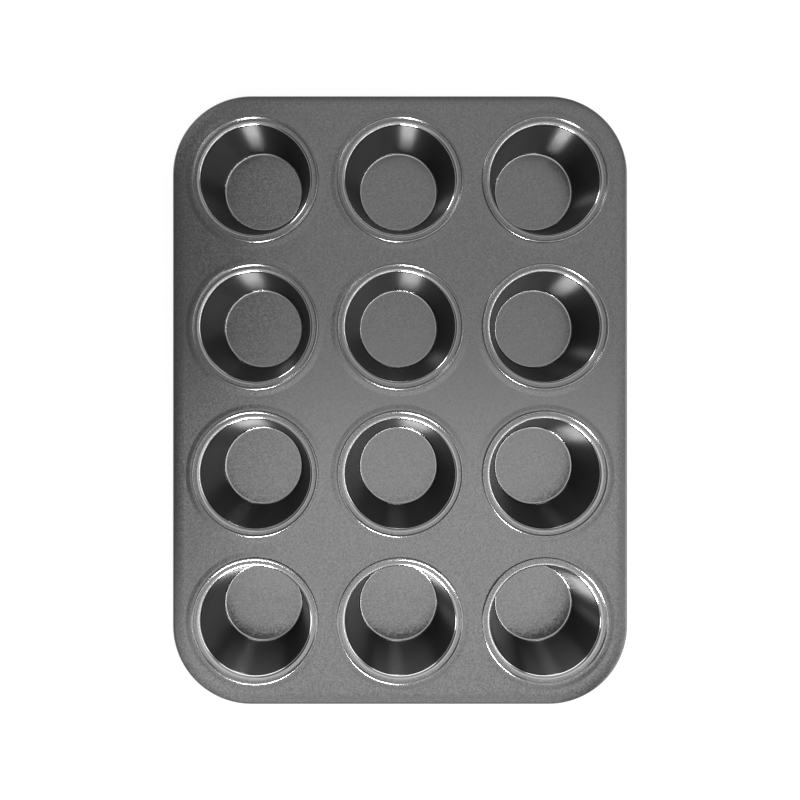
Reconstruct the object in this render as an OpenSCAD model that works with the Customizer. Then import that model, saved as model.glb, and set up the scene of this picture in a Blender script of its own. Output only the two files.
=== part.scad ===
// Muffin tin of coated sheet steel. Pressed cups are hemmed over upturned collars in a flat deck,
// and the deck's edge is curled round a wire. Millimetres.
// The tin stands on z = 0 with its centre at the origin, its width along X and its length along Y.

/* [Layout] */
// Cups across the tin
columns = 3; // [1:1:4]
// Cups along the tin
rows = 4; // [1:1:6]
// Flat sheet between two neighbouring mouth rings across the tin
column_web = 4.5; // [0.5:0.1:20]
// Flat sheet between two neighbouring mouth rings along the tin
row_web = 5.7; // [0.5:0.1:20]
// Flat sheet between the outer mouth rings and the rim's first bend at the tin's sides
side_web = 1.45; // [0.2:0.05:15]
// Flat sheet between the outer mouth rings and the rim's first bend at the tin's ends
end_web = 2.35; // [0.2:0.05:15]

/* [Cups] */
// Height of the tin, from the undersides of the cups to the tops of the hems
tin_height = 30; // [20:0.5:60]
// Inside diameter where the line of a cup's wall reaches the shoulder
mouth_d = 64.1; // [58:0.1:90]
// Inside diameter where the line of a cup's wall reaches the base
base_d = 48.4; // [38:0.1:56]
// Thickness of the cups' sheet
cup_gauge = 0.4; // [0.3:0.05:0.8]
// Radius inside the bend between base and wall
base_radius = 1.2; // [0.8:0.1:6]
// Radius under the bend between wall and shoulder
shoulder_radius = 1.6; // [0.6:0.1:2.5]
// Width of the shoulder, from the wall's line to the hem
shoulder_w = 3.4; // [2.4:0.05:8]
// Radius of the corner where the shoulder turns up into the hem
hem_foot = 0.25; // [0.1:0.05:0.45]
// Straight height of the hem above that corner
hem_leg = 0.1; // [0.05:0.05:2]

/* [Deck] */
// Thickness of the deck's sheet
deck_gauge = 0.4; // [0.3:0.05:0.8]
// Radius inside the deck's sharp bends
deck_bend = 0.3; // [0.1:0.05:0.4]
// Height of the collars above the lands that they rise from
collar_height = 0.7; // [0.6:0.05:3]
// Clearance between a collar and the hem folded over it
hem_gap = 0.05; // [0.02:0.01:0.2]
// Width of the flat land round each hem
land_w = 1.2; // [0.4:0.1:6]
// Height of the lands above the deck
land_rise = 0.25; // [0.1:0.05:3]
// Run of the slope from a land down to the deck
slope_run = 1.5; // [0.8:0.1:6]

/* [Rim] */
// Outer radius of the tin's corners
corner_radius = 43; // [15:1:49]
// Radius under the bend that leads from the deck to the rim
rim_lead = 30; // [5:1:40]
// Fall of the rim's strip below the level of the deck, in degrees
rim_fall = 8; // [2:0.5:20]
// Straight width of that strip, up to the curl
rim_flat = 1.2; // [0.2:0.1:10]
// Diameter of the wire inside the rim
wire_d = 3; // [1.5:0.1:5]
// Clearance between the wire and the curl round it
wire_gap = 0.05; // [0.02:0.01:0.3]
// Gap between the wire's two ends, where the loop closes
wire_butt = 0.8; // [0.2:0.1:4]

/* [Hidden] */
// Largest turn between two points on a bend, in degrees
bend_step = 15;
// Segments of round shapes
$fn = 96;
// Overlap of each mouth ring with the flat sheet round it
ring_lap = 0.1;

// Heights of the hem, the shoulder, the land and the deck's upper face
hem_fold = deck_gauge / 2 + hem_gap;
hem_w = 2 * (hem_fold + cup_gauge);
collar_top_z = tin_height - hem_w / 2;
shoulder_z = collar_top_z - hem_leg - hem_foot;
land_z = collar_top_z - collar_height;
hem_end_z = land_z + deck_bend + hem_gap;
deck_z = land_z - land_rise;

// Radii about a cup's axis, from the mouth out to the flat deck
mouth_r = mouth_d / 2;
hem_in_r = mouth_r + shoulder_w;
hem_out_r = hem_in_r + hem_w;
collar_r = hem_out_r - cup_gauge - hem_gap;
land_r = hem_out_r + land_w;
slope_r = land_r + slope_run;
hole_r = slope_r + deck_bend;
ring_r = hole_r + ring_lap;

// The rim's section: its strip falls from the lead bend to the curl
curl_inside = wire_d / 2 + wire_gap;
curl_r = curl_inside + deck_gauge;
lead_reach = (rim_lead + deck_gauge) * tan(rim_fall / 2);
strip = lead_reach + rim_flat;
curl_x = corner_radius - curl_r;
curl_z = deck_z - strip * sin(rim_fall) - curl_r * cos(rim_fall);
lead_x = curl_x + curl_r * sin(rim_fall) - strip * cos(rim_fall);
rim_w = corner_radius - lead_x;
strip_end_z = deck_z - rim_w * tan(rim_fall);

// Layout of the cups, and the half distances between the centres of the tin's corners
column_pitch = 2 * ring_r + column_web;
row_pitch = 2 * ring_r + row_web;
edge_w = ring_r + lead_reach + rim_w;
corner_x = (columns - 1) * column_pitch / 2 + edge_w + side_web - corner_radius;
corner_y = (rows - 1) * row_pitch / 2 + edge_w + end_web - corner_radius;

function cup_name(row, column) = str("cup_row", row, "_col", column);

// Bent sheet is drawn as a run of corners [x, y, radius inside the bend], walked with the sheet on
// the right. The corners lie on the left face, where its straight stretches would meet.

// Heading from one point to another
function heading(from, to) = atan2(to.y - from.y, to.x - from.x);

// Unit vector to the right of a heading
function right_of(h) = [sin(h), -cos(h)];

// Turn from one heading to another, positive to the left
function turn_between(h1, h2) =
    let (turn = h2 - h1)
    turn > 180 ? turn - 360 : turn < -180 ? turn + 360 : turn;

// Points [x, y, heading] of the left face round one corner of a run
function bend(before, corner, after, gauge) =
    let (
        h1 = heading(before, corner),
        turn = turn_between(h1, heading(corner, after)),
        side = turn < 0 ? 1 : -1,
        r = turn < 0 ? corner.z + gauge : corner.z,
        start = [corner.x, corner.y] - r * tan(abs(turn) / 2) * [cos(h1), sin(h1)],
        centre = start + side * r * right_of(h1),
        steps = ceil(abs(turn) / bend_step)
    )
    [
        for (i = [0:steps])
            let (h = h1 + turn * i / steps, p = centre - side * r * right_of(h))
            [p.x, p.y, h]
    ];

// Points [x, y, heading] along the whole left face of a run
function left_face(run, gauge) =
    let (last = len(run) - 1)
    [
        [run[0].x, run[0].y, heading(run[0], run[1])],
        for (i = [1:last - 1]) each bend(run[i - 1], run[i], run[i + 1], gauge),
        [run[last].x, run[last].y, heading(run[last - 1], run[last])]
    ];

// The same points without those that coincide where one bend runs straight into the next
function distinct(points) =
    [for (i = [0:len(points) - 1]) if (i == 0 || norm(points[i] - points[i - 1]) > 0.001) points[i]];

// Section of a bent sheet
module bent_sheet(run, gauge) {
    face = distinct(left_face(run, gauge));
    polygon([
        for (p = face) [p.x, p.y],
        for (i = [len(face) - 1:-1:0]) [face[i].x, face[i].y] + gauge * right_of(face[i].z)
    ]);
}

// Sweeps a section round the tin's outline, with x measured from the centres of the corners
module around_rim() {
    for (side = [0:3]) {
        half = side % 2 == 0 ? [corner_x, corner_y] : [corner_y, corner_x];
        rotate([0, 0, 90 * side]) {
            translate([half.x, 0, 0])
                rotate([90, 0, 0])
                    linear_extrude(height = 2 * half.y, center = true)
                        children();
            translate([half.x, half.y, 0])
                rotate_extrude(angle = 90)
                    children();
        }
    }
}

// Moves to the axis of a cup. Row 1 is at the +Y end and column 1 at the -X side.
module at_cup(row, column) {
    translate([
        (column - (columns + 1) / 2) * column_pitch,
        ((rows + 1) / 2 - row) * row_pitch,
        0
    ])
        children();
}

// Moves to every cup in turn
module at_every_cup() {
    for (row = [1:rows], column = [1:columns])
        at_cup(row, column)
            children();
}

// Section of the deck's edge, from a corner's centre out to the end of the curl
module rim_section() {
    bent_sheet([
        [0, deck_z, 0],
        [lead_x, deck_z, rim_lead],
        [corner_radius, strip_end_z, curl_inside],
        [corner_radius, curl_z - curl_r, curl_inside],
        [curl_x - curl_r, curl_z - curl_r, curl_inside],
        [curl_x - curl_r, curl_z, 0]
    ], deck_gauge);
}

// Raised ring in the deck round a cup, from the top of its collar out to the flat sheet
module mouth_ring() {
    rotate_extrude()
        bent_sheet([
            [collar_r, collar_top_z, 0],
            [collar_r, land_z, deck_bend],
            [land_r, land_z, deck_bend],
            [slope_r, deck_z, deck_bend],
            [ring_r, deck_z, 0]
        ], deck_gauge);
}

// Flat sheet of the deck with its rim, before the mouth rings go in
module flat_deck() {
    around_rim()
        rim_section();
    translate([-corner_x, -corner_y, deck_z - deck_gauge])
        cube([2 * corner_x, 2 * corner_y, deck_gauge]);
}

// Deck: one sheet with a raised ring and a collar for every cup, and a curled edge
module deck_sheet() {
    color([0.43, 0.43, 0.44]) {
        difference() {
            flat_deck();
            at_every_cup()
                translate([0, 0, deck_z - 2 * deck_gauge])
                    cylinder(r = hole_r, h = 3 * deck_gauge);
        }
        at_every_cup()
            mouth_ring();
    }
}

// Wire loop inside the curl, open where its two ends meet
module rim_wire() {
    color([0.62, 0.62, 0.64])
        difference() {
            around_rim()
                translate([curl_x, curl_z])
                    circle(d = wire_d);
            translate([corner_x + curl_x, 0, curl_z])
                cube([2 * wire_d, wire_butt, 2 * wire_d], center = true);
        }
}

// Cup: one pressing from its base up to the hem folded over the deck's collar
module cup() {
    color([0.38, 0.38, 0.39])
        rotate_extrude()
            bent_sheet([
                [0, cup_gauge, 0],
                [base_d / 2, cup_gauge, base_radius],
                [mouth_r, shoulder_z, shoulder_radius],
                [hem_in_r, shoulder_z, hem_foot],
                [hem_in_r, tin_height, hem_fold],
                [hem_out_r, tin_height, hem_fold],
                [hem_out_r, hem_end_z, 0]
            ], cup_gauge);
}

deck_sheet();
rim_wire();
for (row = [1:rows], column = [1:columns])
    at_cup(row, column) cup();
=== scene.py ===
"""Looks of the muffin tin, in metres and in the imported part's own frame.

Every piece is a smooth sheet-metal mesh swept or turned from a bent section: twelve pressed cups, the
deck sheet that carries them and the wire loop inside its rolled rim. Coatings, studio and camera follow.
"""

import logging
import math
from dataclasses import dataclass, field
from enum import Enum
from functools import cached_property
from typing import Iterator, NamedTuple

import bmesh
import bpy
import numpy as np
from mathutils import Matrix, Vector, geometry


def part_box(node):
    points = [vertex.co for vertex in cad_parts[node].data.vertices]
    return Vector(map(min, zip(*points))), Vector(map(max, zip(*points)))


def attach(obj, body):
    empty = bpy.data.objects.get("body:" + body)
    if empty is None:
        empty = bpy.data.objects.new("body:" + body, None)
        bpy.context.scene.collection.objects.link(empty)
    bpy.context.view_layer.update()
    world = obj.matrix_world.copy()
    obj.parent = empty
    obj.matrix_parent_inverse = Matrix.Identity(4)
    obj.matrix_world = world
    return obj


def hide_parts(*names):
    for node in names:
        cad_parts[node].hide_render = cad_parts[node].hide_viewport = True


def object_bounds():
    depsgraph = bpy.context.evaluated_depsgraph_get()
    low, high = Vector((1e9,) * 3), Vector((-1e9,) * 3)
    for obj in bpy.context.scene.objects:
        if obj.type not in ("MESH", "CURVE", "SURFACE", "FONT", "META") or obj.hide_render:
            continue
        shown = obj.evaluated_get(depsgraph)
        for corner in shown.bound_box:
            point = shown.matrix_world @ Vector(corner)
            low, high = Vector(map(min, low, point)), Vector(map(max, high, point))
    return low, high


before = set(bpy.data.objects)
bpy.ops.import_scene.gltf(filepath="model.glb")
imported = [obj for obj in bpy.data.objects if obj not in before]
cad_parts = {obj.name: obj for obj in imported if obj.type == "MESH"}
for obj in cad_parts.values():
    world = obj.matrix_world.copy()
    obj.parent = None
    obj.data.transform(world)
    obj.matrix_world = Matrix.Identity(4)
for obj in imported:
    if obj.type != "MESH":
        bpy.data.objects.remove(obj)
cad_low, cad_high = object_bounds()

MM = 0.001
QUARTER_TURN = math.pi / 2
BODY = "root"

# Steps of circles, of the outline's corners and sides, and of the bends in a section
ROUND_SEGMENTS = 144
CORNER_SEGMENTS = 28
STRAIGHT_STEP = 12 * MM
FINE_STEP = math.radians(9)
COARSE_STEP = math.radians(15)
LEAST_STEPS = 2
# A bend of a smaller radius than this takes coarse steps
SMALL_RADIUS = 1 * MM
# Distance from its ends at which a straight stretch is held flat, and the shortest one that is held
HOLD = 0.12 * MM
LEAST_SPAN = 3 * HOLD
# Points closer than this are one point
SAME_POINT = 1e-7
# Faces that meet at more than this angle are shaded apart
SHARP_EDGE = math.radians(40)
# The triangulation's option that keeps all of its triangles
ALL_TRIANGLES = 0

# Watts per square metre that give a lamp a radiance of 1
POWER_PER_RADIANCE = 4

WHITE = (1.0, 1.0, 1.0, 1.0)
# Mean of a random colour
MEAN_COLOUR = (0.5, 0.5, 0.5)
# Factors that keep the x and y of a place and drop its height
LEVEL = (1.0, 1.0, 0.0)

Colour = tuple[float, float, float]
Place = tuple[float, float]
Loop = list[int]
Socket = bpy.types.NodeSocket

log = logging.getLogger("muffin_tin")


class Zone(Enum):
    """How far the forming has worked the coating.

    Not at all on the flat sheet, more at each kind of bend, and most up a cup's wall.
    """

    # From SATIN to RUBBED the value also sets the painted highlight on a bend, and from RUBBED to DRAWN
    # the painted shade on a wall.
    SATIN = 0.0
    PRESSED = 0.06
    EASED = 0.42
    RUBBED = 0.5
    DRAWN = 1.0


class FacePoint(NamedTuple):
    """A point on a face of a section, with the sheet's heading and its zone's value there."""

    x: float
    z: float
    heading: float
    drawn: float


@dataclass(frozen=True)
class Corner:
    """Corner of a sheet's run, where two straight stretches of its upper face would meet.

    The radius is the one inside the bend. The bend has a zone, and so has the stretch after it.
    """

    x: float
    z: float
    radius: float = 0.0
    bend: Zone = Zone.PRESSED
    stretch: Zone = Zone.SATIN


@dataclass(frozen=True)
class SheetSection:
    """Section of a bent sheet: a run of corners, walked with the sheet on the right."""

    corners: tuple[Corner, ...]
    gauge: float

    def upper(self) -> list[FacePoint]:
        """Gives the points of the upper face, with each straight stretch held flat near its ends.

        Returns:
            The face's points, in the order of the run.
        """
        first, last = self.corners[0], self.corners[-1]
        face = [FacePoint(first.x, first.z, heading(first, self.corners[1]), first.stretch.value)]
        for before, corner, after in zip(self.corners, self.corners[1:], self.corners[2:]):
            bend = self._bend(before, corner, after)
            face += [*straight(face[-1], bend[0], before.stretch), *bend]
        zone = self.corners[-2].stretch
        end = FacePoint(last.x, last.z, heading(self.corners[-2], last), zone.value)
        face += [*straight(face[-1], end, zone), end]
        return distinct(face)

    def lower(self) -> list[FacePoint]:
        """Gives the points of the lower face.

        Returns:
            One point for each point of the upper face, in the same order.
        """
        return [
            FacePoint(
                point.x + self.gauge * math.sin(point.heading),
                point.z - self.gauge * math.cos(point.heading),
                point.heading,
                point.drawn,
            )
            for point in self.upper()
        ]

    def _bend(self, before: Corner, corner: Corner, after: Corner) -> list[FacePoint]:
        """Rounds one corner of the upper face.

        Args:
            before: The corner before the one to round.
            corner: The corner to round.
            after: The corner after it.

        Returns:
            The points of the bend, tangent to both straight stretches.
        """
        start_heading = heading(before, corner)
        turn = math.remainder(heading(corner, after) - start_heading, math.tau)
        side = 1 if turn < 0 else -1
        radius = corner.radius + self.gauge if turn < 0 else corner.radius
        tangent = radius * math.tan(abs(turn) / 2)
        centre_x = corner.x - tangent * math.cos(start_heading) + side * radius * math.sin(start_heading)
        centre_z = corner.z - tangent * math.sin(start_heading) - side * radius * math.cos(start_heading)
        step = COARSE_STEP if radius < SMALL_RADIUS else FINE_STEP
        steps = max(LEAST_STEPS, math.ceil(abs(turn) / step))
        points = []
        for i in range(steps + 1):
            angle = start_heading + turn * i / steps
            points.append(FacePoint(
                centre_x - side * radius * math.sin(angle),
                centre_z + side * radius * math.cos(angle),
                angle,
                corner.bend.value,
            ))
        return points


def heading(start: Corner, end: Corner) -> float:
    """Gives the direction from one corner to another, in radians above the x axis."""
    return math.atan2(end.z - start.z, end.x - start.x)


def straight(start: FacePoint, end: FacePoint, zone: Zone) -> Iterator[FacePoint]:
    """Gives one point close to each end of a straight stretch, which keeps its shading flat.

    Args:
        start: The point where the stretch starts.
        end: The point where it ends.
        zone: Its zone.

    Yields:
        The two points, or none where the stretch is too short for them.
    """
    span = math.hypot(end.x - start.x, end.z - start.z)
    if span > LEAST_SPAN:
        for share in (HOLD / span, 1 - HOLD / span):
            x = start.x + (end.x - start.x) * share
            z = start.z + (end.z - start.z) * share
            yield FacePoint(x, z, start.heading, zone.value)


def distinct(face: list[FacePoint]) -> list[FacePoint]:
    """Drops each point that coincides with the one before it.

    Args:
        face: The points of a face, in order.

    Returns:
        The points that are left.
    """
    kept = face[:1]
    for point in face[1:]:
        if math.hypot(point.x - kept[-1].x, point.z - kept[-1].z) > SAME_POINT:
            kept.append(point)
    return kept


class SheetMesh:
    """Collects the rings of a closed sheet-metal mesh and makes an object of them."""

    def __init__(self) -> None:
        """Starts with no points."""
        self.points: list[tuple[float, float, float]] = []
        self.drawn: list[float] = []
        self.faces: list[tuple[int, ...]] = []

    def ring(self, places: list[Place], z: float, drawn: float) -> Loop:
        """Adds a loop of points at one height.

        Args:
            places: The points' x and y.
            z: Their height.
            drawn: The zone's value there.

        Returns:
            The new points' numbers.
        """
        first = len(self.points)
        self.points += [(x, y, z) for x, y in places]
        self.drawn += [drawn] * len(places)
        return list(range(first, len(self.points)))

    def bridge(self, one: Loop, other: Loop) -> None:
        """Joins two loops of equally many points, or a loop and a single point, with faces.

        Args:
            one: The first loop.
            other: The second loop.
        """
        count = max(len(one), len(other))
        for i in range(count):
            j = (i + 1) % count
            if len(one) == 1:
                self.faces.append((one[0], other[i], other[j]))
            elif len(other) == 1:
                self.faces.append((one[j], one[i], other[0]))
            else:
                self.faces.append((one[j], one[i], other[i], other[j]))

    def turn(self, profile: list[tuple[float, float, float]]) -> None:
        """Turns a profile about the z axis.

        Args:
            profile: The radius, the height and the zone's value of each of its points.
        """
        last = None
        for radius, z, drawn in profile:
            ring = self.ring(circle((0, 0), radius), z, drawn)
            if last is not None:
                self.bridge(last, ring)
            last = ring

    def make(self, name: str) -> bpy.types.Object:
        """Makes a smooth object with outward faces from what was collected.

        Args:
            name: The object's name.

        Returns:
            The object, linked to the scene.
        """
        mesh = bpy.data.meshes.new(name)
        mesh.from_pydata(self.points, [], self.faces)
        drawn = mesh.attributes.new("drawn", "FLOAT", "POINT")
        drawn.data.foreach_set("value", self.drawn)
        work = bmesh.new()
        work.from_mesh(mesh)
        bmesh.ops.recalc_face_normals(work, faces=work.faces)
        work.to_mesh(mesh)
        work.free()
        mesh.shade_smooth()
        mesh.set_sharp_from_angle(angle=SHARP_EDGE)
        piece = bpy.data.objects.new(name, mesh)
        bpy.context.scene.collection.objects.link(piece)
        return piece


def circle(centre: Place, radius: float) -> list[Place]:
    """Gives the points of a circle.

    Args:
        centre: Its centre.
        radius: Its radius.

    Returns:
        The points, anticlockwise, or only the centre where the radius is nothing.
    """
    if radius < SAME_POINT:
        return [centre]
    turns = np.linspace(0, math.tau, ROUND_SEGMENTS, endpoint=False)
    return [(centre[0] + radius * math.cos(a), centre[1] + radius * math.sin(a)) for a in turns]


class Shader:
    """A material's node tree round its Principled shader."""

    def __init__(self, name: str) -> None:
        """Starts the material.

        Args:
            name: The material's name.
        """
        self.material = bpy.data.materials.new(name)
        self.material.use_nodes = True
        self.nodes = self.material.node_tree.nodes

    def finish(self, inputs: dict[str, object]) -> bpy.types.Material:
        """Feeds the Principled shader.

        Args:
            inputs: What each of its named sockets takes.

        Returns:
            The material.
        """
        surface = self.nodes["Principled BSDF"]
        for socket, value in inputs.items():
            self.feed(surface.inputs[socket], value)
        return self.material

    def feed(self, socket: Socket, value: object) -> None:
        """Links a socket to another node's output, or sets its own value.

        Args:
            socket: The socket.
            value: The other node's output, or a plain value.
        """
        if isinstance(value, Socket):
            self.material.node_tree.links.new(value, socket)
        else:
            socket.default_value = value

    def node(self, kind: str, inputs: dict[str | int, object], **settings: object) -> bpy.types.Node:
        """Adds a node.

        Args:
            kind: The node's type, without its prefix.
            inputs: What each socket takes, by its name or number.
            settings: The node's own options.

        Returns:
            The new node.
        """
        made = self.nodes.new("ShaderNode" + kind)
        for option, value in settings.items():
            setattr(made, option, value)
        for socket, value in inputs.items():
            self.feed(made.inputs[socket], value)
        return made

    def place(self) -> Socket:
        """Gives the place on the piece, in metres."""
        return self.node("TexCoord", {}).outputs["Object"]

    def noise(self, place: Socket, width: float, detail: float = 2.0) -> Socket:
        """Adds a noise.

        Args:
            place: Where to read the noise.
            width: The width of its patches.
            detail: How many finer layers it has.

        Returns:
            The noise's value, from 0 to 1.
        """
        made = self.node("TexNoise", {"Vector": place, "Scale": 1 / width, "Detail": detail})
        return made.outputs["Fac"]

    def share(self, value: Socket, start: Zone, end: Zone) -> Socket:
        """Tells how far a zone's value has come from one zone to another.

        Args:
            value: The value.
            start: The zone that gives 0.
            end: The zone that gives 1.

        Returns:
            A share from 0 to 1, held at these outside the two zones.
        """
        made = self.node("MapRange", {"Value": value, "From Min": start.value, "From Max": end.value})
        return made.outputs["Result"]

    def spread(self, value: Socket, low: object, high: object) -> Socket:
        """Stretches a value from 0 to 1 over another range.

        Args:
            value: The value to stretch.
            low: What 0 becomes.
            high: What 1 becomes.

        Returns:
            The stretched value.
        """
        made = self.node("MapRange", {"Value": value, "To Min": low, "To Max": high}, clamp=False)
        return made.outputs["Result"]

    def math(self, operation: str, one: object, other: object) -> Socket:
        """Works out a sum, product or the like of two values.

        Args:
            operation: What to do with them.
            one: The first value.
            other: The second value.

        Returns:
            The result.
        """
        made = self.node("Math", {0: one, 1: other}, operation=operation)
        return made.outputs["Value"]

    def vector(self, operation: str, inputs: dict[str | int, object]) -> Socket:
        """Works out a vector from others.

        Args:
            operation: What to do with them.
            inputs: What each socket takes, by its name or number.

        Returns:
            The result.
        """
        return self.node("VectorMath", inputs, operation=operation).outputs["Vector"]

    def tint(self, value: Socket, dark: Colour, light: Colour) -> Socket:
        """Turns a value from 0 to 1 into a colour between two others.

        Args:
            value: The value.
            dark: The colour at 0.
            light: The colour at 1.

        Returns:
            The colour.
        """
        ramp = self.node("ValToRGB", {"Fac": value})
        ramp.color_ramp.elements[0].color = (*dark, 1.0)
        ramp.color_ramp.elements[1].color = (*light, 1.0)
        return ramp.outputs["Color"]


class Wear(NamedTuple):
    """How the coating was worked, as shares from 0 to 1: its grain left, and how far rubbed and drawn."""

    grain: Socket
    # rubbed also sets where the painted highlight goes at the bends.
    rubbed: Socket
    # drawn also sets where the painted shade goes up the walls.
    drawn: Socket


@dataclass(frozen=True)
class MetallicCoat:
    """Grey non-stick coating over steel, speckled satin where flat and smoother where it was worked.

    Attributes:
        name: The material's name.
        colour: Colour of the flat sheet.
        shade: How much lighter or darker a flake can be, as a share of the colour.
        bend_painted_highlight: Factor that lightens the colour at a rubbed bend, a painted highlight.
        wall_painted_shade: Factor that darkens the colour up a drawn wall, painted shade inside the cup.
        satin_roughness: Roughness of the flat sheet.
        rubbed_roughness: Roughness of a rubbed bend.
        drawn_roughness: Roughness of a drawn wall.
        roughness_drift: How far the roughness drifts either way.
        drift_width: Width of the patches that it drifts over.
        flake: Width of a flake.
        flake_tilt: How far the flakes tilt.
        streak_width: Width of the streaks up a wall, as a share of the wall's radius.
        streak_depth: Depth of these streaks.
        up_the_wall: Turn of the drawn grain from round a wall to up it, as a share of a full turn.
    """

    name: str
    colour: Colour
    shade: float = 0.28
    bend_painted_highlight: float = 1.8
    wall_painted_shade: float = 0.48
    satin_roughness: float = 0.25
    rubbed_roughness: float = 0.11
    drawn_roughness: float = 0.32
    roughness_drift: float = 0.02
    drift_width: float = 14 * MM
    flake: float = 0.55 * MM
    flake_tilt: float = 0.08
    streak_width: float = 0.02
    streak_depth: float = 0.012 * MM
    up_the_wall: float = 0.25

    def material(self) -> bpy.types.Material:
        """Makes the coating's material.

        Returns:
            A material that reads each piece's own zones.
        """
        shader = Shader(self.name)
        place = shader.place()
        zone = shader.node("Attribute", {}, attribute_name="drawn").outputs["Fac"]
        wear = Wear(
            shader.share(zone, Zone.PRESSED, Zone.SATIN),
            shader.share(zone, Zone.SATIN, Zone.RUBBED),
            shader.share(zone, Zone.RUBBED, Zone.DRAWN),
        )
        flakes = shader.node("TexVoronoi", {"Vector": place, "Scale": 1 / self.flake}).outputs["Color"]
        bump = shader.node("Bump", {
            "Distance": self.streak_depth,
            "Strength": wear.drawn,
            "Height": self._streaks(shader, place),
            "Normal": self._tilted(shader, flakes, wear),
        })
        tangent = shader.node("Tangent", {}, direction_type="RADIAL", axis="Z")
        return shader.finish({
            "Base Color": self._colour(shader, flakes, wear),
            "Metallic": 1.0,
            "Roughness": self._roughness(shader, place, wear),
            "Anisotropic": wear.drawn,
            "Anisotropic Rotation": self.up_the_wall,
            "Tangent": tangent.outputs["Tangent"],
            "Normal": bump.outputs["Normal"],
        })

    def _colour(self, shader: Shader, flakes: Socket, wear: Wear) -> Socket:
        """Makes the coating's colour.

        Args:
            shader: The material's nodes.
            flakes: A random colour for each flake.
            wear: How the coating was worked.

        Returns:
            The colour, speckled where the grain is left, with painted highlight at bends and painted
            shade on walls.
        """
        dark = tuple(channel * (1 - self.shade) for channel in self.colour)
        light = tuple(channel * (1 + self.shade) for channel in self.colour)
        speckled = shader.node("MixRGB", {
            "Fac": wear.grain,
            "Color1": (*self.colour, 1.0),
            "Color2": shader.tint(flakes, dark, light),
        })
        # Painted highlight: the colour is lighter along the rubbed bends.
        painted_highlight_and_shade = shader.spread(wear.rubbed, 1.0, self.bend_painted_highlight)
        # Painted shade: the colour is darker up the drawn walls inside the cups.
        painted_highlight_and_shade = shader.spread(wear.drawn, painted_highlight_and_shade, self.wall_painted_shade)
        return shader.vector("SCALE", {0: speckled.outputs["Color"], "Scale": painted_highlight_and_shade})

    def _roughness(self, shader: Shader, place: Socket, wear: Wear) -> Socket:
        """Makes the coating's roughness.

        Args:
            shader: The material's nodes.
            place: The place on the piece.
            wear: How the coating was worked.

        Returns:
            The roughness, with its drift.
        """
        worked = shader.spread(wear.rubbed, self.satin_roughness, self.rubbed_roughness)
        worked = shader.spread(wear.drawn, worked, self.drawn_roughness)
        patches = shader.noise(place, self.drift_width)
        drift = shader.spread(patches, -self.roughness_drift, self.roughness_drift)
        return shader.math("ADD", worked, drift)

    def _tilted(self, shader: Shader, flakes: Socket, wear: Wear) -> Socket:
        """Tilts the surface a little differently in each flake of the coating.

        Args:
            shader: The material's nodes.
            flakes: A random colour for each flake.
            wear: How the coating was worked.

        Returns:
            The tilted normal.
        """
        tilt = shader.math("MULTIPLY", wear.grain, self.flake_tilt)
        lean = shader.vector("SUBTRACT", {0: flakes, 1: MEAN_COLOUR})
        lean = shader.vector("SCALE", {0: lean, "Scale": tilt})
        normal = shader.node("NewGeometry", {}).outputs["Normal"]
        return shader.vector("NORMALIZE", {0: shader.vector("ADD", {0: normal, 1: lean})})

    def _streaks(self, shader: Shader, place: Socket) -> Socket:
        """Makes the faint streaks that drawing leaves up a cup's wall.

        Args:
            shader: The material's nodes.
            place: The place on the piece, whose origin lies on the cup's axis.

        Returns:
            A value that changes round the axis and hardly along it.
        """
        outward = shader.vector("NORMALIZE", {0: shader.vector("MULTIPLY", {0: place, 1: LEVEL})})
        home = shader.node("ObjectInfo", {}).outputs["Location"]
        return shader.noise(shader.vector("ADD", {0: home, 1: outward}), self.streak_width)


@dataclass(frozen=True)
class DrawnWire:
    """Bare steel wire with the fine lines of its drawing die.

    Attributes:
        name: The material's name.
        colour: Colour of the steel.
        roughness: Its mean roughness.
        roughness_range: How far the lines change the roughness either way.
        line: Width of the lines.
        line_detail: How many finer layers the lines have.
        line_depth: Depth of the lines.
    """

    name: str
    colour: Colour
    roughness: float = 0.3
    roughness_range: float = 0.08
    line: float = 0.4 * MM
    line_detail: float = 3.0
    line_depth: float = 0.01 * MM

    def material(self) -> bpy.types.Material:
        """Makes the wire's material.

        Returns:
            The material.
        """
        shader = Shader(self.name)
        lines = shader.noise(shader.place(), self.line, self.line_detail)
        smooth = self.roughness - self.roughness_range
        dull = self.roughness + self.roughness_range
        bump = shader.node("Bump", {"Distance": self.line_depth, "Height": lines})
        return shader.finish({
            "Base Color": (*self.colour, 1.0),
            "Metallic": 1.0,
            "Roughness": shader.spread(lines, smooth, dull),
            "Normal": bump.outputs["Normal"],
        })


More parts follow.
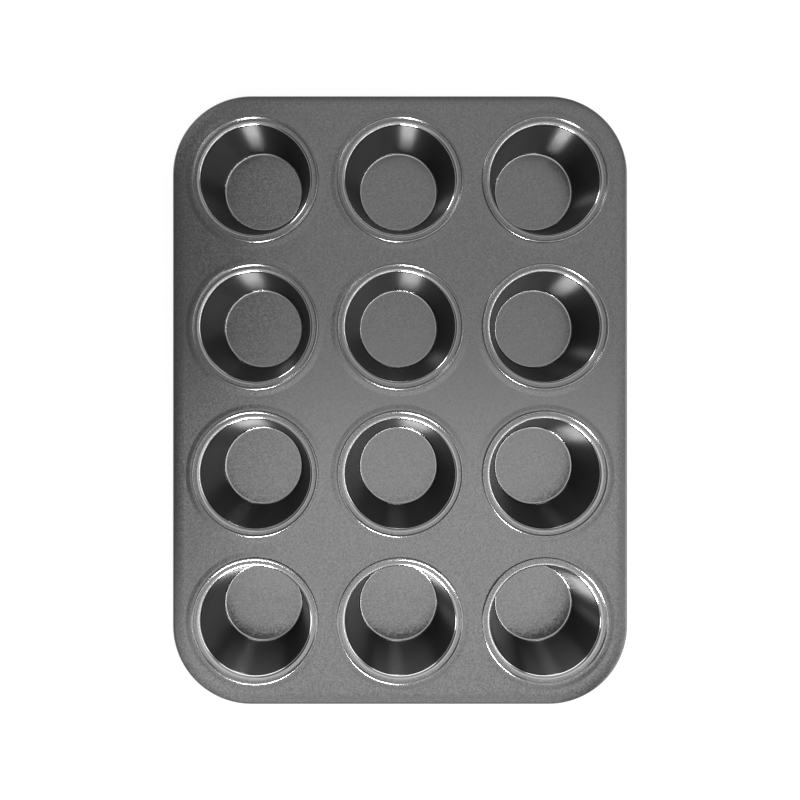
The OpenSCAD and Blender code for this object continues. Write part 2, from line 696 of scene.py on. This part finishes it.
@dataclass(frozen=True)
class MouthJoint:
    """The joint round each cup's mouth: the cup's hem, folded over a collar that rises from the deck."""

    top_z: float
    mouth_r: float = 32.05 * MM
    shoulder_w: float = 3.4 * MM
    cup_gauge: float = 0.4 * MM
    deck_gauge: float = 0.4 * MM
    gap: float = 0.05 * MM
    foot_radius: float = 0.25 * MM
    leg: float = 0.1 * MM
    collar_height: float = 0.7 * MM
    deck_bend: float = 0.3 * MM

    @property
    def fold_radius(self) -> float:
        """Radius inside the hem's fold."""
        return self.deck_gauge / 2 + self.gap

    @property
    def collar_top_z(self) -> float:
        """Height of the collar's edge."""
        return self.top_z - self.fold_radius - self.cup_gauge

    @property
    def shoulder_z(self) -> float:
        """Height of the cup's shoulder."""
        return self.collar_top_z - self.leg - self.foot_radius

    @property
    def land_z(self) -> float:
        """Height of the flat land round the hem."""
        return self.collar_top_z - self.collar_height

    @property
    def end_z(self) -> float:
        """Height of the hem's edge above the land."""
        return self.land_z + self.deck_bend + self.gap

    @property
    def inner_r(self) -> float:
        """Radius of the hem's inner face."""
        return self.mouth_r + self.shoulder_w

    @property
    def outer_r(self) -> float:
        """Radius of the hem's outer face."""
        return self.inner_r + 2 * (self.fold_radius + self.cup_gauge)

    @property
    def collar_r(self) -> float:
        """Radius of the collar's outer face."""
        return self.outer_r - self.cup_gauge - self.gap


@dataclass
class PressedCup:
    """One cup: a pressing from its base up to the hem round its mouth."""

    node: str
    joint: MouthJoint
    base_r: float = 24.2 * MM
    base_radius: float = 1.2 * MM
    shoulder_radius: float = 1.6 * MM
    piece: bpy.types.Object = field(init=False)

    @cached_property
    def centre(self) -> Place:
        """Place of the cup's axis, from its CAD node."""
        low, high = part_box(self.node)
        return (low.x + high.x) / 2, (low.y + high.y) / 2

    @property
    def row(self) -> int:
        """Number of the cup's row, from its CAD node's name."""
        return int(self.node.split("_")[1].removeprefix("row"))

    def section(self) -> SheetSection:
        """Draws the cup's section.

        Returns:
            The section, from the cup's axis to the edge of its hem.
        """
        joint = self.joint
        return SheetSection((
            Corner(0, joint.cup_gauge),
            Corner(self.base_r, joint.cup_gauge, self.base_radius, Zone.EASED, Zone.DRAWN),
            Corner(joint.mouth_r, joint.shoulder_z, self.shoulder_radius, Zone.RUBBED),
            Corner(joint.inner_r, joint.shoulder_z, joint.foot_radius),
            Corner(joint.inner_r, joint.top_z, joint.fold_radius),
            Corner(joint.outer_r, joint.top_z, joint.fold_radius),
            Corner(joint.outer_r, joint.end_z),
        ), joint.cup_gauge)

    def build(self) -> None:
        """Turns the section about the cup's axis and stands the piece in its CAD node's place."""
        section = self.section()
        mesh = SheetMesh()
        mesh.turn([(point.x, point.z, point.drawn) for point in section.upper() + section.lower()[::-1]])
        self.piece = mesh.make(self.node.replace("cup", "pressed_cup"))
        self.piece.location = (*self.centre, 0)
        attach(self.piece, BODY)
        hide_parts(self.node)

    def dress(self, coat: bpy.types.Material) -> None:
        """Gives the cup its coating."""
        self.piece.data.materials.append(coat)


class Station(NamedTuple):
    """A place round the rim: the point that its section is measured from, and the section's direction."""

    x: float
    y: float
    angle: float

    def at(self, reach: float) -> Place:
        """Gives the place at a distance outward."""
        return self.x + reach * math.cos(self.angle), self.y + reach * math.sin(self.angle)


@dataclass(frozen=True)
class RimRoute:
    """The tin's outline as a route of stations, anticlockwise from the middle of its +X side."""

    corner_x: float
    corner_y: float

    def stations(self, gap: float = 0.0) -> list[Station]:
        """Lists the stations.

        Args:
            gap: Length left out at the start of the route, half of it at each end.

        Returns:
            The stations. Without a gap the last one joins the first.
        """
        x, y = self.corner_x, self.corner_y
        corners = [(x, y), (-x, y), (-x, -y), (x, -y)]
        afters = [*corners[1:], (x, -gap / 2)]
        route = self._straight((x, gap / 2), corners[0], 0)
        for side, (corner, after) in enumerate(zip(corners, afters)):
            start = side * QUARTER_TURN
            for i in range(1, CORNER_SEGMENTS):
                route.append(Station(*corner, start + i * QUARTER_TURN / CORNER_SEGMENTS))
            route += self._straight(corner, after, start + QUARTER_TURN)
        return route if gap else route[:-1]

    @staticmethod
    def _straight(start: Place, end: Place, angle: float) -> list[Station]:
        """Lists the stations of one straight side.

        Args:
            start: Where the side starts.
            end: Where it ends.
            angle: The direction of its sections.

        Returns:
            The stations, both ends included.
        """
        steps = max(1, round(math.dist(start, end) / STRAIGHT_STEP))
        shares = [i / steps for i in range(steps + 1)]
        return [
            Station(start[0] + (end[0] - start[0]) * s, start[1] + (end[1] - start[1]) * s, angle)
            for s in shares
        ]


@dataclass(frozen=True)
class RolledRim:
    """The deck's edge: a strip that falls away from the deck and curls round a wire."""

    outline_x: float
    outline_y: float
    deck_z: float
    gauge: float = 0.4 * MM
    corner_radius: float = 46 * MM
    lead_radius: float = 30 * MM
    fall: float = math.radians(8)
    flat: float = 1.2 * MM
    wire_r: float = 1.5 * MM
    wire_gap: float = 0.05 * MM
    margin: float = 2 * HOLD

    @property
    def route(self) -> RimRoute:
        """The route of the rim's corners."""
        return RimRoute(self.outline_x - self.corner_radius, self.outline_y - self.corner_radius)

    @property
    def curl_r(self) -> float:
        """Outer radius of the curl."""
        return self.wire_r + self.wire_gap + self.gauge

    @property
    def lead_reach(self) -> float:
        """Length that the lead bend takes from each straight beside it."""
        return (self.lead_radius + self.gauge) * math.tan(self.fall / 2)

    @property
    def strip(self) -> float:
        """Length of the falling strip, from where it would meet the deck's level to the curl."""
        return self.lead_reach + self.flat

    @property
    def curl_x(self) -> float:
        """Distance of the wire's axis from the corners' centres."""
        return self.corner_radius - self.curl_r

    @property
    def curl_z(self) -> float:
        """Height of the wire's axis."""
        return self.deck_z - self.strip * math.sin(self.fall) - self.curl_r * math.cos(self.fall)

    @property
    def lead_x(self) -> float:
        """Distance at which the deck's level and the strip's would meet."""
        return self.curl_x + self.curl_r * math.sin(self.fall) - self.strip * math.cos(self.fall)

    @property
    def start_x(self) -> float:
        """Distance at which the rim takes over from the flat deck."""
        return self.lead_x - self.lead_reach - self.margin

    def section(self) -> SheetSection:
        """Draws the rim's section.

        Returns:
            The section, from the flat deck to the end of the curl.
        """
        inside = self.wire_r + self.wire_gap
        strip_end_z = self.deck_z - (self.corner_radius - self.lead_x) * math.tan(self.fall)
        return SheetSection((
            Corner(self.start_x, self.deck_z),
            Corner(self.lead_x, self.deck_z, self.lead_radius, Zone.SATIN),
            Corner(self.corner_radius, strip_end_z, inside),
            Corner(self.corner_radius, self.curl_z - self.curl_r, inside),
            Corner(self.curl_x - self.curl_r, self.curl_z - self.curl_r, inside),
            Corner(self.curl_x - self.curl_r, self.curl_z),
        ), self.gauge)


@dataclass
class DeckSheet:
    """The deck: one flat sheet with a raised ring and a collar round every cup, and a rolled rim."""

    joint: MouthJoint
    cup_centres: list[Place]
    land_w: float = 1.2 * MM
    land_rise: float = 0.25 * MM
    slope_run: float = 2.4 * MM
    ring_margin: float = 0.1 * MM
    patch: float = 5 * MM
    node: str = "deck_sheet"
    piece: bpy.types.Object = field(init=False)

    @property
    def deck_z(self) -> float:
        """Height of the deck's upper face."""
        return self.joint.land_z - self.land_rise

    @cached_property
    def ring_r(self) -> float:
        """Radius at which a raised ring meets the flat deck."""
        return self.ring_section().corners[-1].x

    @cached_property
    def rim(self) -> RolledRim:
        """The rolled rim, sized to the CAD node."""
        low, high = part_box(self.node)
        return RolledRim((high.x - low.x) / 2, (high.y - low.y) / 2, self.deck_z)

    def ring_section(self) -> SheetSection:
        """Draws the section of a raised ring.

        Returns:
            The section, from the collar's edge out to the flat deck.
        """
        joint = self.joint
        land_r = joint.outer_r + self.land_w
        slope_r = land_r + self.slope_run
        return SheetSection((
            Corner(joint.collar_r, joint.collar_top_z),
            Corner(joint.collar_r, joint.land_z, joint.deck_bend),
            Corner(land_r, joint.land_z, joint.deck_bend),
            Corner(slope_r, self.deck_z, joint.deck_bend),
            Corner(slope_r + joint.deck_bend + self.ring_margin, self.deck_z),
        ), joint.deck_gauge)

    def build(self) -> None:
        """Builds the rings, the rim and the flat sheet between them as one closed piece."""
        mesh = SheetMesh()
        loops = [self._ring(mesh, centre) for centre in self.cup_centres]
        loops.append(self._rim(mesh))
        self._fill(mesh, loops)
        self.piece = mesh.make("deck_pressing")
        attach(self.piece, BODY)
        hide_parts(self.node)

    def dress(self, coat: bpy.types.Material) -> None:
        """Gives the deck its coating."""
        self.piece.data.materials.append(coat)

    def _ring(self, mesh: SheetMesh, centre: Place) -> tuple[Loop, Loop]:
        """Turns a raised ring.

        Args:
            mesh: Where to add it.
            centre: The cup's axis.

        Returns:
            The loops where the flat sheet joins on, of its upper and its lower face.
        """
        section = self.ring_section()
        upper, lower = (
            [mesh.ring(circle(centre, point.x), point.z, point.drawn) for point in face]
            for face in (section.upper(), section.lower())
        )
        self._skin(mesh, upper, lower)
        mesh.bridge(upper[0], lower[0])
        return upper[-1], lower[-1]

    def _rim(self, mesh: SheetMesh) -> tuple[Loop, Loop]:
        """Sweeps the rim round the outline.

        Args:
            mesh: Where to add it.

        Returns:
            The loops where the flat sheet joins on, of its upper and its lower face.
        """
        section = self.rim.section()
        stations = self.rim.route.stations()
        upper, lower = (
            [mesh.ring([s.at(point.x) for s in stations], point.z, point.drawn) for point in face]
            for face in (section.upper(), section.lower())
        )
        self._skin(mesh, upper, lower)
        mesh.bridge(upper[-1], lower[-1])
        return upper[0], lower[0]

    @staticmethod
    def _skin(mesh: SheetMesh, upper: list[Loop], lower: list[Loop]) -> None:
        """Joins the loops of each face of a section.

        Args:
            mesh: Where the loops are.
            upper: The upper face's loops, in order.
            lower: The lower face's loops, in order.
        """
        for face in (upper, lower):
            for one, other in zip(face, face[1:]):
                mesh.bridge(one, other)

    def _fill(self, mesh: SheetMesh, loops: list[tuple[Loop, Loop]]) -> None:
        """Fills the flat sheet between the rings and the rim, on both faces.

        Args:
            mesh: Where to add it.
            loops: The upper and lower loops to fill between, the rim's last.
        """
        places: list[Place] = []
        edges: list[tuple[int, int]] = []
        upper: Loop = []
        lower: Loop = []
        for top, bottom in loops:
            first = len(places)
            places += [mesh.points[i][:2] for i in top]
            edges += [(first + i, first + (i + 1) % len(top)) for i in range(len(top))]
            upper += top
            lower += bottom
        inner = [place for place in self._patches() if self._clear(place, self.patch / 2)]
        upper += mesh.ring(inner, self.deck_z, Zone.SATIN.value)
        lower += mesh.ring(inner, self.deck_z - self.joint.deck_gauge, Zone.SATIN.value)
        places += inner
        spots = [Vector(place) for place in places]
        made = geometry.delaunay_2d_cdt(spots, edges, [], ALL_TRIANGLES, SAME_POINT)
        points, faces, origins = made[0], made[2], made[3]
        for face in faces:
            middle = sum((points[i] for i in face), Vector((0, 0))) / len(face)
            if not self._clear(middle, 0):
                continue
            corners = [origins[i][0] for i in face]
            mesh.faces.append(tuple(upper[i] for i in corners))
            mesh.faces.append(tuple(lower[i] for i in reversed(corners)))

    def _patches(self) -> Iterator[Place]:
        """Lists the points of a grid over the deck.

        Yields:
            The points row by row, every other row moved by half a step.
        """
        rim = self.rim
        row_step = self.patch * math.sqrt(3) / 2
        rows = int(rim.outline_y / row_step)
        columns = int(rim.outline_x / self.patch)
        for row in range(-rows, rows + 1):
            for column in range(-columns, columns + 1):
                yield (column + row % 2 / 2) * self.patch, row * row_step

    def _clear(self, place: Place, margin: float) -> bool:
        """Tells whether a place on the deck is clear of the rings and the rim.

        Args:
            place: The place.
            margin: How clear it has to be.

        Returns:
            True if it lies on the flat sheet.
        """
        nearest = min(math.dist(place, centre) for centre in self.cup_centres)
        if nearest < self.ring_r * math.cos(math.pi / ROUND_SEGMENTS) - SAME_POINT + margin:
            return False
        route = self.rim.route
        past = math.hypot(max(0, abs(place[0]) - route.corner_x), max(0, abs(place[1]) - route.corner_y))
        return past < self.rim.start_x - margin


@dataclass
class RimWire:
    """The wire loop inside the rolled rim, with its two ends almost meeting."""

    rim: RolledRim
    butt: float = 0.8 * MM
    sides: int = 24
    node: str = "rim_wire"
    piece: bpy.types.Object = field(init=False)

    def build(self) -> None:
        """Sweeps a disc round the rim's route and closes both ends."""
        mesh = SheetMesh()
        stations = self.rim.route.stations(self.butt)
        discs = []
        for station in stations:
            first = len(mesh.points)
            for turn in np.linspace(0, math.tau, self.sides, endpoint=False):
                x, y = station.at(self.rim.curl_x + self.rim.wire_r * math.cos(turn))
                mesh.points.append((x, y, self.rim.curl_z + self.rim.wire_r * math.sin(turn)))
                mesh.drawn.append(Zone.DRAWN.value)
            discs.append(list(range(first, len(mesh.points))))
        for one, other in zip(discs, discs[1:]):
            mesh.bridge(one, other)
        mesh.faces += [tuple(discs[0]), tuple(reversed(discs[-1]))]
        self.piece = mesh.make("wire_loop")
        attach(self.piece, BODY)
        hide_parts(self.node)

    def dress(self, steel: bpy.types.Material) -> None:
        """Gives the wire its bare steel."""
        self.piece.data.materials.append(steel)


class Facing(Enum):
    """What a softbox faces."""

    FLOOR = "floor"
    TIN = "tin"


@dataclass(frozen=True)
class Softbox:
    """A soft rectangular lamp.

    Where it has rows, it is flagged off from everything but the cups of those rows.
    """

    name: str
    facing: Facing
    place: tuple[float, float, float]
    size: tuple[float, float]
    radiance: float
    rows: tuple[int, ...] = ()
    lean: float = 0.01
    tin_middle: tuple[float, float, float] = (0.0, 0.0, 0.02)

    def aim(self) -> Vector:
        """Gives the direction in which the lamp shines.

        Returns:
            The direction. Down to the floor it leans a little, which keeps the lamp square to the tin.
        """
        if self.facing is Facing.FLOOR:
            return Vector((0.0, -self.lean, -self.place[2]))
        return Vector(self.tin_middle) - Vector(self.place)

    def build(self, cups: list[PressedCup]) -> None:
        """Adds the lamp, hidden from the camera itself.

        Args:
            cups: All cups of the tin.
        """
        lamp = bpy.data.lights.new(self.name, "AREA")
        lamp.shape = "RECTANGLE"
        lamp.size, lamp.size_y = self.size
        lamp.energy = POWER_PER_RADIANCE * self.radiance * self.size[0] * self.size[1]
        box = bpy.data.objects.new(self.name, lamp)
        box.location = self.place
        box.rotation_euler = self.aim().to_track_quat("-Z", "Y").to_euler()
        box.visible_camera = False
        bpy.context.scene.collection.objects.link(box)
        if self.rows:
            lit = bpy.data.collections.new(self.name)
            for cup in cups:
                if cup.row in self.rows:
                    lit.objects.link(cup.piece)
            box.light_linking.receiver_collection = lit


@dataclass(frozen=True)
class Studio:
    """A pale floor that sweeps up into a backdrop, with soft lamps round the tin."""

    softboxes: tuple[Softbox, ...]
    cups: list[PressedCup]
    surround: float = 0.04
    floor_reach: float = 2.6
    sweep_radius: float = 0.6
    sweep_steps: int = 12
    backdrop_height: float = 1.1
    floor_colour: Colour = (0.3, 0.3, 0.3)
    floor_roughness: float = 0.9
    floor_glow: float = 0.85

    def build(self) -> None:
        """Adds the floor, the surround and the lamps."""
        self._floor()
        self._surround()
        for softbox in self.softboxes:
            softbox.build(self.cups)

    def _profile(self) -> Iterator[tuple[float, float, float]]:
        """Draws the floor and backdrop's profile.

        Yields:
            The radius, the height and the zone's value of each point, from the middle of the floor.
        """
        zone = Zone.SATIN.value
        yield 0.0, 0.0, zone
        for turn in np.linspace(0, QUARTER_TURN, self.sweep_steps + 1):
            radius = self.floor_reach - self.sweep_radius * (1 - math.sin(turn))
            yield radius, self.sweep_radius * (1 - math.cos(turn)), zone
        yield self.floor_reach, self.backdrop_height, zone

    def _floor(self) -> None:
        """Makes the floor and backdrop, which show white to the eye and still take the tin's shadow."""
        mesh = SheetMesh()
        mesh.turn(list(self._profile()))
        floor = mesh.make("floor")
        shader = Shader("white_floor")
        floor.data.materials.append(shader.finish({
            "Base Color": (*self.floor_colour, 1.0),
            "Roughness": self.floor_roughness,
            "Specular IOR Level": 0.0,
            "Emission Color": WHITE,
            "Emission Strength": shader.math("MULTIPLY", self._shown(shader), self.floor_glow),
        }))

    @staticmethod
    def _shown(shader: Shader) -> Socket:
        """Tells which rays the floor and backdrop show white to.

        Args:
            shader: The floor's nodes.

        Returns:
            1 for rays from the eye, also by way of metal or glass, and 0 for the rest.
        """
        path = shader.node("LightPath", {}).outputs
        seen = shader.math("MAXIMUM", path["Is Camera Ray"], path["Is Glossy Ray"])
        return shader.math("MAXIMUM", seen, path["Is Transmission Ray"])

    def _surround(self) -> None:
        """Makes the dim surround above the backdrop."""
        world = bpy.data.worlds.new("surround")
        world.use_nodes = True
        background = world.node_tree.nodes["Background"]
        background.inputs["Color"].default_value = WHITE
        background.inputs["Strength"].default_value = self.surround
        bpy.context.scene.world = world


@dataclass(frozen=True)
class PhotoCamera:
    """The photograph's camera, which looks straight down with the tin's +Y end at the top."""

    place: tuple[float, float, float] = (-13.6 * MM, 25.0 * MM, 390.7 * MM)
    focal_px: float = 623.9
    axis_px: tuple[float, float] = (376.7, 357.2)
    image_px: float = 800
    sensor: float = 36
    nearest: float = 10 * MM

    def build(self) -> None:
        """Adds the camera and makes it the scene's."""
        data = bpy.data.cameras.new("photo_camera")
        data.sensor_width = self.sensor
        data.lens = self.focal_px / self.image_px * self.sensor
        middle_px = self.image_px / 2
        data.shift_x = (middle_px - self.axis_px[0]) / self.image_px
        data.shift_y = (self.axis_px[1] - middle_px) / self.image_px
        data.clip_start = self.nearest
        camera = bpy.data.objects.new("photo_camera", data)
        camera.location = self.place
        bpy.context.scene.collection.objects.link(camera)
        bpy.context.scene.camera = camera


def studio_lamps() -> tuple[Softbox, ...]:
    """Lists the studio's lamps.

    Returns:
        The lamps that light everything, then those that light only cups.
    """
    every_row = (1, 2, 3, 4)
    return (
        Softbox("wide_softbox", Facing.FLOOR, (0.1, 0.05, 1.0), (2.0, 1.9), 0.24),
        Softbox("overhead_softbox", Facing.FLOOR, (0.3, 0.1, 0.96), (1.2, 1.7), 0.46),
        Softbox("front_softbox", Facing.FLOOR, (0.02, -0.78, 0.95), (1.06, 1.46), 0.52),
        Softbox("low_front_softbox", Facing.FLOOR, (-0.15, -1.15, 0.95), (1.5, 0.5), 0.65),
        Softbox("corner_softbox", Facing.FLOOR, (-0.62, -0.7, 0.95), (0.6, 0.45), 0.6),
        Softbox("back_softbox", Facing.FLOOR, (-0.75, 0.95, 0.95), (0.7, 0.7), 0.45),
        Softbox("side_softbox", Facing.TIN, (0.8, -0.2, 0.42), (1.3, 0.45), 1.2),
        Softbox("key_softbox", Facing.TIN, (-0.12, -0.56, 0.23), (0.24, 0.2), 74.0, every_row),
        Softbox("strip_softbox", Facing.TIN, (0.7, -0.45, 0.75), (1.8, 0.06), 11.0, every_row),
        Softbox("far_left_softbox", Facing.TIN, (-0.9, 0.92, 0.45), (0.3, 0.3), 13.0, (1, 2)),
        Softbox("far_softbox", Facing.TIN, (-0.1, 1.1, 0.45), (2.8, 0.7), 2.4, (4,)),
        Softbox("near_left_softbox", Facing.TIN, (-0.89, -0.51, 0.44), (0.25, 0.25), 9.0, (4,)),
    )


def cup_nodes() -> list[str]:
    """Lists the CAD nodes of the cups."""
    return sorted(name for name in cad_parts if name.startswith("cup_"))


def main() -> None:
    """Builds the tin piece by piece, then the studio and the camera."""
    logging.basicConfig(level=logging.INFO, format="%(name)s: %(message)s")
    bpy.context.scene.view_settings.view_transform = "Standard"
    coat = MetallicCoat("grey_coat", (0.165, 0.165, 0.167)).material()
    steel = DrawnWire("bare_wire", (0.5, 0.5, 0.51)).material()
    joint = MouthJoint(cad_high.z)
    cups = [PressedCup(node, joint) for node in cup_nodes()]
    deck = DeckSheet(joint, [cup.centre for cup in cups])
    wire = RimWire(deck.rim)
    for part, finish in (*((cup, coat) for cup in cups), (deck, coat), (wire, steel)):
        part.build()
        part.dress(finish)
        log.info("%s: %d faces", part.piece.name, len(part.piece.data.polygons))
    Studio(studio_lamps(), cups).build()
    PhotoCamera().build()


if __name__ == "__main__":
    main()
